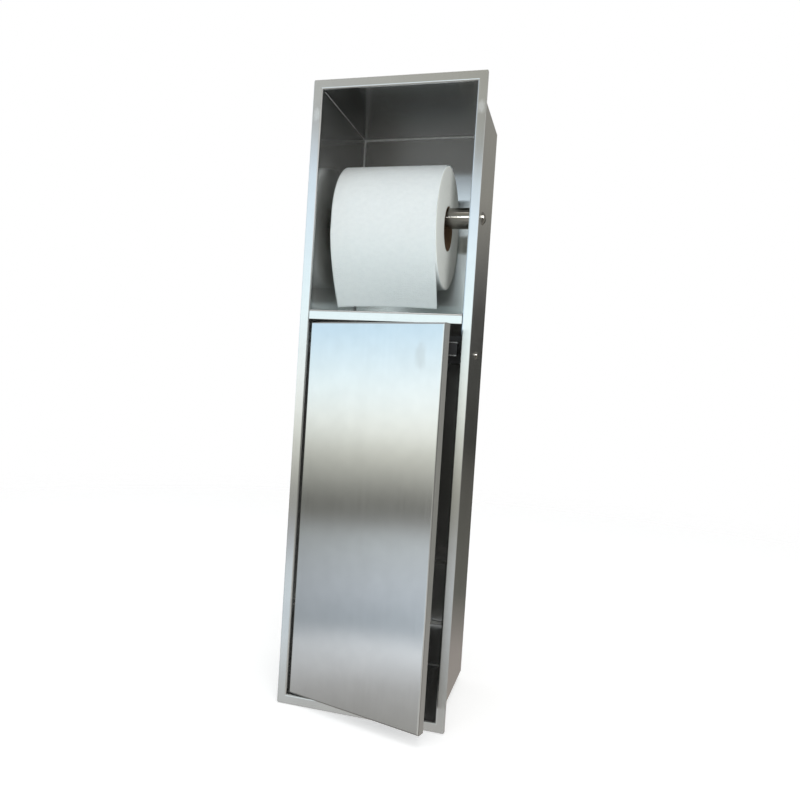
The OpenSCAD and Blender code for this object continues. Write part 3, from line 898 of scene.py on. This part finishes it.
@dataclass
class WeldSeams:
    """Ground weld beads in the inner corners of the box, which CAD leaves sharp.

    Those along the back are full. Those that run forward are fine, and end lip_depth
    behind the front. The radius follows two waves, of so many radians in a metre.
    """

    radius: float = 1.8 * MM
    fine_radius: float = 0.48 * MM
    wave: float = 0.06 * MM
    waves: tuple[float, float] = (1900.0, 730.0)
    sink: float = 0.15 * MM
    step: float = 1.5 * MM
    columns: int = 13
    lip_depth: float = 6.0 * MM
    low: Vector = field(init=False)
    high: Vector = field(init=False)

    def __post_init__(self) -> None:
        """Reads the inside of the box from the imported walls."""
        corner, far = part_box("back_panel")
        x, z = corner.x + far.y - corner.y, corner.z + far.y - corner.y
        self.low = Vector((x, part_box("left_wall")[0].y, z))
        self.high = Vector((-x, corner.y, -z))
        log.info("inside of the box: %s to %s", self.low, self.high)

    def bead(self, start: Vector, end: Vector, first: Vector, second: Vector) -> np.ndarray:
        """Works out one bead along a corner.

        One parameter runs along the corner. The other is the angle of a quarter circle
        from the first wall to the second, whose radius waves a little along the bead.

        Args:
            start: the corner's first end.
            end: its other end.
            first: the unit vector from the corner along one wall.
            second: the unit vector from the corner along the other wall.

        Returns:
            Rows along the bead by columns across it by 3.
        """
        length = (end - start).length
        count = max(8, int(length / self.step))
        share = np.linspace(0.0, 1.0, count)[:, None, None]
        angle = np.linspace(0.0, math.pi / 2, self.columns)[None, :, None]
        run = share * length
        forward = abs((end - start).y) >= self.radius
        fast, slow = self.waves
        wave = np.sin(run * fast) + 0.6 * np.sin(run * slow + 1.0)
        radius = (self.fine_radius if forward else self.radius) + self.wave * wave
        middle = np.array(start) + share * np.array(end - start)
        outward = np.cos(angle) * np.array(first) + np.sin(angle) * np.array(second)
        return middle - self.sink * np.array(first + second) + radius * outward

    def lines(self) -> tuple[tuple[Vector, Vector, Vector, Vector], ...]:
        """Says where the beads run: along the roof, and round each of the two bays.

        Returns:
            Each bead's two ends, and the directions of its two walls from the corner.
        """
        low, high = self.low, self.high
        lip_back = low.y + self.lip_depth
        lower, upper = (corner.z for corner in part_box("divider_shelf"))
        up, down, ahead = Vector((0, 0, 1)), Vector((0, 0, -1)), Vector((0, -1, 0))
        sides = ((low.x, Vector((1, 0, 0))), (high.x, Vector((-1, 0, 0))))
        back = high.y
        lines = [((low.x, back, high.z), (high.x, back, high.z), down, ahead)]
        for bottom, top, z, level in ((upper, high.z, high.z, down), (low.z, lower, low.z, up)):
            lines += [((x, back, bottom), (x, back, top), side, ahead) for x, side in sides]
            lines += [((low.x, back, bottom), (high.x, back, bottom), up, ahead)]
            lines += [((x, lip_back, z), (x, back, z), side, level) for x, side in sides]
        return tuple((Vector(start), Vector(end), a, b) for start, end, a, b in lines)

    def build(self) -> None:
        """Makes the beads, which belong to the box and face into it."""
        # Near-white and hardly metallic: the beads are real, and their brightness is a painted
        # highlight along the seams.
        finish = BrushedSteel(
            "weld_painted_highlight", colour=(0.95, 0.95, 0.94), roughness=0.36, anisotropy=0.0,
            streak=0.02, metal=0.1,
        ).build()
        lines = self.lines()
        for number, (start, end, first, second) in enumerate(lines, 1):
            points = self.bead(start, end, first, second)
            if (end - start).cross(first).dot(second) < 0:
                points = points[:, ::-1]
            uv = points[:, :, :2]
            bead = surface_mesh(f"weld_seam_{number:02d}", points, uv, (False, False))
            bead.data.materials.append(finish)
            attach(bead, "root")
        log.info("weld seams: %d beads", len(lines))


# Painted shade and light on the sheet inside the box, as factors on its colour by height:
# the open bay darkens towards its top, and bands above the shelf are lighter.
WALL_PAINTED_SHADING = (
    (0.0, 1.0), (0.08, 1.0), (0.085, 1.6), (0.13, 1.4), (0.17, 0.9), (0.195, 1.1),
    (0.21, 1.1), (0.23, 0.65), (0.29, 0.65),
)
# Back wall: painted light where it mirrors the roll, and painted shade near its top.
BACK_PAINTED_SHADING = (
    (0.0, 1.0), (0.08, 1.0), (0.085, 1.6), (0.12, 1.5), (0.17, 1.6), (0.2, 1.6),
    (0.215, 0.95), (0.235, 0.62), (0.29, 0.62),
)
# Roof inside the box: painted shade all over.
ROOF_PAINTED_SHADE = ((0.0, 0.78), (0.3, 0.78))

# Finishes that are the same all over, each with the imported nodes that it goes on.
EVEN_FINISHES = {
    BrushedSteel("hinge_steel", Grain.ACROSS, grey(0.72), roughness=0.32, anisotropy=0.3): (
        "hinge_arms", "door_hinge_brackets", "strike_plate", "hinge_pins",
    ),
    TurnedSteel("turned_steel"): (
        "spindle_tube", "spindle_slider", "spindle_cap_fixed", "spindle_cap_sliding",
        "socket_left", "socket_right",
    ),
    TurnedSteel("drawn_rod", (0.66, 0.66, 0.65), roughness=0.42, ring_scale=300.0): (
        "keeper_rod",
    ),
    TurnedSteel("screw_steel", (0.3, 0.29, 0.26), roughness=0.13, anisotropy=0.2): (
        "socket_screws", "latch_screws",
    ),
    TurnedSteel(
        "spring_wire", (0.42, 0.42, 0.43), roughness=0.3, anisotropy=0.2, ring_scale=500.0
    ): ("spindle_spring", "latch_spring"),
    TurnedSteel(
        "pole_steel", (0.85, 0.85, 0.84), roughness=0.26, anisotropy=0.3, ring_scale=900.0
    ): ("latch_poles",),
    TurnedSteel(
        "sintered_magnet", (0.1, 0.1, 0.105), roughness=0.5, anisotropy=0.0, ring_scale=900.0
    ): ("latch_magnet",),
    MouldedPlastic("black_moulding"): ("latch_housing", "latch_plunger"),
}


@dataclass(frozen=True)
class SteelParts:
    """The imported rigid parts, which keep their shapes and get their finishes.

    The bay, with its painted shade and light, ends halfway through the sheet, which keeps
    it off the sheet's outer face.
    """

    half_sheet: float = 0.6 * MM
    bow: float = 0.4 * MM
    door_bow: float = 1.1 * MM

    def dress(self, finish: Finish, *nodes: str) -> None:
        """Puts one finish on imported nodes.

        Args:
            finish: the finish.
            nodes: the nodes' names.
        """
        material = finish.build()
        for name in nodes:
            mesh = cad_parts[name].data
            mesh.materials.clear()
            mesh.materials.append(material)
            log.info("finish %s on %s", material.name, name)

    def build(self) -> None:
        """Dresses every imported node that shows."""
        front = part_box("left_wall")[0].y
        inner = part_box("back_panel")[1] - Vector((self.half_sheet,) * 3)
        # Painted shade and light inside the box, by height.
        bay = Bay(WALL_PAINTED_SHADING, front, inner.y, (inner.x, inner.z), 0.88)
        # Lighter mark at the flange's top corner: a grinding mark whose lighter colour is also a
        # painted highlight.
        ground_and_highlight = Smudge((0.0757, front, 0.2585), (0.0045, 0.004, 0.008), -0.4, paired=True)
        touched = Smudge((0.043, -0.165, 0.04), (0.007, 0.02, 0.016), 0.12)
        box = BrushedSteel(
            "box_steel", streak=0.045, mottle=0.045, smudge=ground_and_highlight, bow=self.bow, bay=bay
        )
        back = BrushedSteel("back_steel", bow=self.bow, bay=replace(bay, painted_shading=BACK_PAINTED_SHADING))
        roof = BrushedSteel("roof_steel", bay=replace(bay, painted_shading=ROOF_PAINTED_SHADE, metal=1.0))
        door = BrushedSteel(
            "door_steel", roughness=0.155, streak=0.035, mottle=0.05, smudge=touched,
            bow=self.door_bow,
        )
        core_low, core_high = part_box("cardboard_core")
        core = (core_low + core_high) / 2
        self.dress(box, "left_wall", "right_wall", "bottom_wall", "divider_shelf")
        self.dress(back, "back_panel")
        self.dress(roof, "top_wall")
        self.dress(door, "door_panel")
        self.dress(WoundBoard("core_board", (core.y, core.z)), "cardboard_core")
        for finish, nodes in EVEN_FINISHES.items():
            self.dress(finish, *nodes)


@dataclass(frozen=True)
class SoftBox:
    """A soft rectangular light, aimed at a point, which the camera doesn't see."""

    name: str
    place: Point
    target: Point
    size: tuple[float, float]
    power: float
    mirrored: bool = True

    def build(self) -> bpy.types.Object:
        """Makes the light and aims it. One that isn't mirrored only lights dull surfaces.

        Returns:
            The light.
        """
        data = bpy.data.lights.new(self.name, "AREA")
        data.shape = "RECTANGLE"
        data.size, data.size_y = self.size
        data.energy = self.power
        lamp = bpy.data.objects.new(self.name, data)
        lamp.visible_glossy = self.mirrored
        lamp.visible_camera = False
        bpy.context.scene.collection.objects.link(lamp)
        place = Vector(self.place)
        turn = (Vector(self.target) - place).to_track_quat("-Z", "Y").to_matrix().to_4x4()
        lamp.matrix_world = Matrix.Translation(place) @ turn
        return lamp

    def build_for(self, *pieces: bpy.types.Object) -> None:
        """Makes the light, which then lights only some pieces.

        Args:
            pieces: the pieces that it lights.
        """
        lit = bpy.data.collections.new(f"lit_by_{self.name}")
        for piece in pieces:
            lit.objects.link(piece)
        self.build().light_linking.receiver_collection = lit


SOFT_BOXES = (
    SoftBox("overhead", (0.1, -0.5, 1.9), (0.0, -0.1, -0.2), (1.8, 1.8), 13.0),
    SoftBox("side", (0.46, -1.1, 0.68), (0.04, -0.1, 0.17), (0.3, 0.5), 2.5, mirrored=False),
)
ROLL_FILL = SoftBox(
    "roll_fill", (0.46, -1.12, 0.5), (0.04, -0.08, 0.17), (0.12, 0.5), 12.5, mirrored=False,
)
END_FILL = SoftBox(
    "end_fill", (0.0705, -0.038, 0.175), (0.05, -0.038, 0.175), (0.05, 0.09), 0.0045,
    mirrored=False,
)
SCREW_GLINT = SoftBox("screw_glint", (1.2, -0.2, 0.5), (0.08, -0.08, 0.15), (0.42, 0.42), 9.0)
SPINDLE_LINE = SoftBox("spindle_line", (0.1, -1.3, 0.24), (0.03, -0.06, 0.18), (1.5, 0.035), 8.0)


@dataclass(frozen=True)
class RoomWall:
    """One wall of the room, from one direction to another, with its colours by height.

    Directions are degrees round the object, 0 in front of it and 90 on its right. Heights
    are degrees above the horizon.
    """

    start: float
    end: float
    colours: tuple[tuple[float, Colour], ...]

    def shade(self, graph: Graph, place: Socket) -> Socket:
        """Reads the wall's colour at a height.

        Args:
            graph: the world's nodes.
            place: half the height's sine, plus a half.

        Returns:
            The colour.
        """
        marks = tuple(
            (0.5 + math.sin(math.radians(height)) / 2, tint) for height, tint in self.colours
        )
        return graph.ramp(place, marks)


BACK_COLOURS = (
    (-90.0, (0.3, 0.28, 0.26)), (-26.0, (0.48, 0.44, 0.4)), (-19.0, (0.42, 0.38, 0.35)),
    (-15.0, (0.14, 0.14, 0.12)), (-6.0, (0.08, 0.075, 0.065)), (-3.5, (0.02, 0.02, 0.016)),
    (2.0, (0.03, 0.03, 0.026)), (6.5, (0.05, 0.046, 0.042)), (9.5, (0.14, 0.135, 0.125)),
    (15.0, (0.34, 0.33, 0.29)), (90.0, grey(0.4)),
)
ROOM_WALLS = (
    RoomWall(-180.0, -125.0, BACK_COLOURS),
    RoomWall(-95.0, -58.0, (
        (-90.0, grey(0.2)), (-24.5, (0.36, 0.35, 0.33)), (-21.5, (0.66, 0.68, 0.7)),
        (-19.0, (0.4, 0.43, 0.45)), (-13.5, (0.32, 0.34, 0.35)), (-11.2, (0.18, 0.18, 0.16)),
        (-9.6, (0.18, 0.18, 0.16)), (-5.0, (0.5, 0.52, 0.48)), (-2.0, (1.1, 1.18, 1.14)),
        (1.0, (1.2, 1.45, 1.54)), (5.0, (0.9, 1.2, 1.46)), (20.0, (0.8, 0.9, 1.0)),
        (30.0, grey(0.4)), (90.0, grey(0.3)),
    )),
    RoomWall(-46.0, -40.0, (
        (-90.0, grey(0.2)), (-26.5, (0.36, 0.36, 0.34)), (-22.5, grey(0.6)),
        (-19.4, (1.3, 1.36, 1.44)), (-17.8, (0.52, 0.6, 0.68)), (-15.0, (0.8, 0.88, 0.98)),
        (-11.0, (0.86, 0.94, 0.98)), (-9.8, (0.3, 0.3, 0.28)), (-8.8, (0.16, 0.16, 0.15)),
        (-5.0, (1.1, 1.12, 1.02)), (-3.0, (1.56, 1.62, 1.54)), (0.0, (1.54, 1.7, 1.74)),
        (5.0, (0.96, 1.3, 1.56)), (20.0, (0.8, 0.9, 1.0)), (90.0, grey(0.3)),
    )),
    RoomWall(-26.0, -18.0, (
        (-90.0, grey(0.3)), (-25.0, (0.86, 0.86, 0.84)), (-18.0, (1.14, 1.28, 1.4)),
        (-14.5, (1.16, 1.3, 1.4)), (-11.5, (0.66, 0.68, 0.74)), (-9.5, (0.5, 0.5, 0.48)),
        (-7.5, (0.66, 0.66, 0.62)), (-4.3, (1.0, 1.02, 0.96)), (0.0, (1.44, 1.48, 1.46)),
        (7.0, (1.44, 1.66, 1.74)), (14.0, (1.24, 1.48, 1.66)), (17.0, (1.2, 1.36, 1.56)),
        (19.5, (0.8, 0.82, 0.82)), (26.0, (0.76, 0.76, 0.68)), (90.0, grey(0.3)),
    )),
    RoomWall(-10.0, 4.0, (
        (-90.0, grey(0.2)), (-28.0, (0.8, 0.8, 0.78)), (-23.0, (0.38, 0.37, 0.34)),
        (-15.0, (0.68, 0.7, 0.7)), (-11.5, (0.72, 0.74, 0.72)), (-9.2, (0.5, 0.5, 0.44)),
        (-7.0, (0.62, 0.62, 0.54)), (-3.5, (1.2, 1.24, 1.12)), (0.0, (1.54, 1.66, 1.58)),
        (7.0, (1.56, 1.84, 1.9)), (13.0, (1.28, 1.48, 1.66)), (16.0, (1.06, 1.24, 1.36)),
        (18.0, (0.38, 0.38, 0.32)), (28.0, (0.56, 0.54, 0.46)), (90.0, grey(0.3)),
    )),
    RoomWall(14.0, 45.0, (
        (-90.0, grey(0.3)), (-28.0, (0.8, 0.8, 0.78)), (-17.0, (0.9, 0.9, 0.88)),
        (-10.0, (0.4, 0.4, 0.38)), (-4.0, (0.2, 0.2, 0.19)), (6.0, (0.5, 0.52, 0.52)),
        (12.0, (1.2, 1.22, 1.22)), (19.0, grey(1.2)), (25.0, (0.6, 0.6, 0.58)), (90.0, grey(0.4)),
    )),
    RoomWall(60.0, 90.0, (
        (-90.0, grey(0.2)), (-20.0, (0.3, 0.28, 0.26)), (-10.0, (0.24, 0.23, 0.22)),
        (10.0, grey(0.3)), (20.0, grey(0.5)), (90.0, grey(0.4)),
    )),
    RoomWall(112.0, 136.0, (
        (-90.0, grey(0.3)), (-26.0, (0.44, 0.43, 0.41)), (-10.0, (0.42, 0.42, 0.39)),
        (0.0, (0.46, 0.46, 0.43)), (10.0, (0.46, 0.46, 0.45)), (90.0, grey(0.4)),
    )),
    RoomWall(150.0, 180.0, BACK_COLOURS),
)


@dataclass(frozen=True)
class PaleFloor(Finish):
    """Matt pale floor that glows a little, and fades out over distances from the middle."""

    fade: tuple[float, float] = (0.7, 1.7)
    glow: float = 0.5

    def paint(self, graph: Graph) -> None:
        """Adds a matt surface that turns clear.

        Args:
            graph: the material's nodes.
        """
        away = graph.length(graph.object_place((1.0, 1.0, 0.0)))
        pale = graph.add("BsdfPrincipled", {
            "Base Color": (0.85, 0.85, 0.85, 1.0),
            "Roughness": 1.0,
            "Specular IOR Level": 0.0,
            "Emission Color": (1.0, 1.0, 1.0, 1.0),
            "Emission Strength": self.glow,
        })
        clear = graph.add("BsdfTransparent")
        ends = {1: pale.outputs[0], 2: clear.outputs[0]}
        mixed = graph.add("MixShader", {0: graph.rise(away, *self.fade, soft=True), **ends})
        graph.add("OutputMaterial", {0: mixed.outputs[0]})


@dataclass(frozen=True)
class Studio:
    """Pale floor, plain room, soft lights and the camera.

    The camera's angles are its azimuth, elevation and roll in degrees. Its focal length,
    and the point of the picture that it looks straight at, are in the photograph's pixels.
    """

    floor_drop: float = 0.6 * MM
    floor_radius: float = 2.4
    floor_steps: tuple[int, int] = (12, 96)
    camera_place: Point = (0.1775, -0.7677, 0.00725)
    camera_angles: Point = (16.25, 1.72, 3.64)
    focal: float = 728.4
    centre: tuple[float, float] = (370.0, 413.8)

    def build_floor(self) -> None:
        """Makes a round pale floor just under the niche, which fades out at its rim."""
        rings, steps = self.floor_steps
        angle = np.linspace(0.0, 2 * math.pi, steps, endpoint=False)[None, :]
        reach = np.linspace(0.0, self.floor_radius, rings)[:, None]
        level = np.full((rings, steps), cad_box[0].z - self.floor_drop)
        points = np.stack([reach * np.cos(angle), reach * np.sin(angle), level], axis=-1)
        floor = surface_mesh("floor", points[:, ::-1], points[:, :, :2], (False, True))
        floor.data.materials.append(PaleFloor("pale_floor").build())
        floor.visible_glossy = False

    def build_room(self) -> None:
        """Makes the room: white behind the object, and soft walls for the steel.

        Each wall of the room is a run of colours by height, and the walls blend into one
        another by direction round the object. The camera itself sees plain white.
        """
        world = bpy.data.worlds.new("room")
        bpy.context.scene.world = world
        world.use_nodes = True
        graph = Graph(world.node_tree)
        x, y, z = graph.split(graph.add("TexCoord").outputs["Generated"])
        place = graph.maths("MULTIPLY_ADD", z, 0.5, 0.5)
        turn = graph.maths("ARCTAN2", x, graph.maths("MULTIPLY", y, -1.0))
        colour = ROOM_WALLS[0].shade(graph, place)
        for wall, following in zip(ROOM_WALLS, ROOM_WALLS[1:]):
            start, end = math.radians(wall.end), math.radians(following.start)
            share = graph.rise(turn, start, end, soft=True)
            colour = graph.between(share, colour, following.shade(graph, place))
        room = graph.add("Background", {0: colour, 1: 1.0})
        white = graph.add("Background", {0: (1.0, 1.0, 1.0, 1.0), 1: 1.0})
        seen = graph.add("LightPath").outputs["Is Camera Ray"]
        both = graph.add("MixShader", {0: seen, 1: room.outputs[0], 2: white.outputs[0]})
        graph.add("OutputWorld", {0: both.outputs[0]})

    def build_camera(self) -> None:
        """Makes the camera at the photograph's viewing angle.

        The angles, the place and the frame's offset come from lining up the front frame,
        the back corners, the roll and the door with the photograph.
        """
        azimuth, elevation, roll = (math.radians(angle) for angle in self.camera_angles)
        turn = Matrix.Rotation(azimuth, 4, "Z")
        turn @= Matrix.Rotation(math.pi / 2 - elevation, 4, "X")
        turn @= Matrix.Rotation(roll, 4, "Z")
        data = bpy.data.cameras.new("camera")
        data.sensor_width = 36.0
        data.lens = self.focal / PHOTO_SIDE * data.sensor_width
        data.shift_x = 0.5 - self.centre[0] / PHOTO_SIDE
        data.shift_y = self.centre[1] / PHOTO_SIDE - 0.5
        data.clip_start = 0.01
        data.clip_end = 50.0
        camera = bpy.data.objects.new("camera", data)
        bpy.context.scene.collection.objects.link(camera)
        camera.matrix_world = Matrix.Translation(self.camera_place) @ turn
        bpy.context.scene.camera = camera

    def build(self) -> None:
        """Makes the whole studio, and shows its colours as they are."""
        self.build_camera()
        self.build_floor()
        self.build_room()
        for light in SOFT_BOXES:
            light.build()
        settings = bpy.context.scene.view_settings
        settings.view_transform = "Standard"
        settings.look = "None"
        log.info("studio: floor, room, lights and camera")


def main() -> None:
    """Builds the studio and dresses the niche."""
    logging.basicConfig(level=logging.INFO, format="%(name)s: %(message)s")
    Studio().build()
    SteelParts().build()
    WeldSeams().build()
    roll = PaperRoll().build()
    ROLL_FILL.build_for(roll)
    END_FILL.build_for(roll)
    SPINDLE_LINE.build_for(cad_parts["spindle_tube"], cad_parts["spindle_slider"])
    SCREW_GLINT.build_for(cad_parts["socket_screws"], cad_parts["latch_screws"])


if __name__ == "__main__":
    main()
